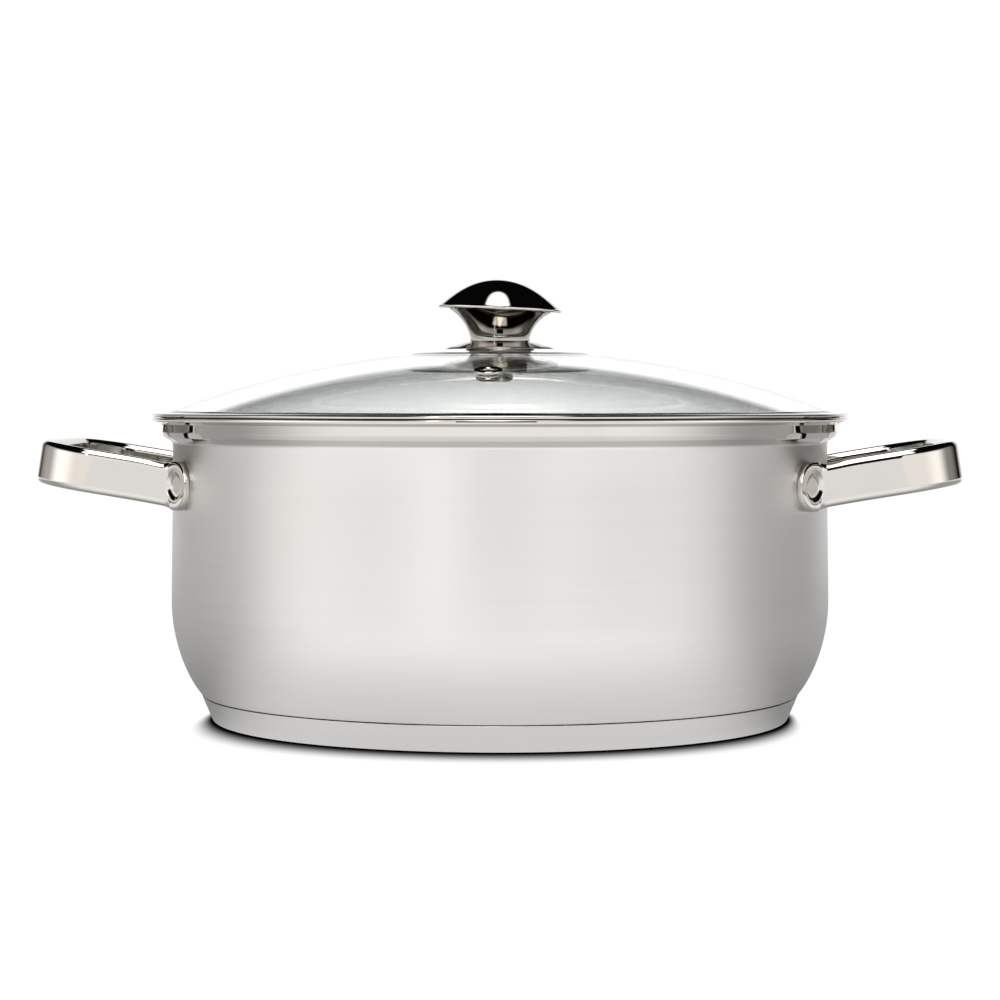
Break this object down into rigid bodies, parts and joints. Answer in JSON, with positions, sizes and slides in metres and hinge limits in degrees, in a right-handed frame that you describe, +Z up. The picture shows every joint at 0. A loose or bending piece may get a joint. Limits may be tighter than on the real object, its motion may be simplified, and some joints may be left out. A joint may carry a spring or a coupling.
{
  "type": "stock pot",
  "caption": "Low, wide stainless steel stock pot with a bonded flat base, welded loop handles and a domed glass lid with a steel band, steam vent and mushroom knob.",
  "frame": {"origin": "centre of the base's underside", "axes": "+Z up along the pot's axis, +X along the line through both handles, the steam vent on the -Y side"},
  "size_m": [0.3326, 0.2554, 0.1614],
  "materials": {
    "brushed_steel": "satin, brushed round the wall",
    "polished_steel": "mirror polish",
    "aluminium_core": "matt, sealed inside the base",
    "lid_glass": "clear tempered glass, faint green tint",
    "silicone": "translucent silicone"
  },
  "bodies": {
    "pot": {"pot_shell": "brushed_steel", "base_core": "aluminium_core", "base_cap": "brushed_steel", "right_handle": "polished_steel", "left_handle": "polished_steel"},
    "lid": {"lid_glass": "lid_glass", "lid_band": "polished_steel", "rim_seal": "silicone", "vent_eyelet": "polished_steel", "knob_cap": "polished_steel", "knob_skirt": "polished_steel", "knob_base": "polished_steel", "knob_insert": "aluminium_core", "knob_screw": "polished_steel", "upper_seat_washer": "silicone", "screw_sleeve": "silicone", "lower_seat_washer": "silicone", "screw_washer": "polished_steel", "lock_washer": "polished_steel"}
  },
  "joints": [
    {"name": "lid_lift", "type": "slide", "parent": "pot", "child": "lid", "axis": [0, 0, 1], "range_m": [0, 0.15]}
  ]
}
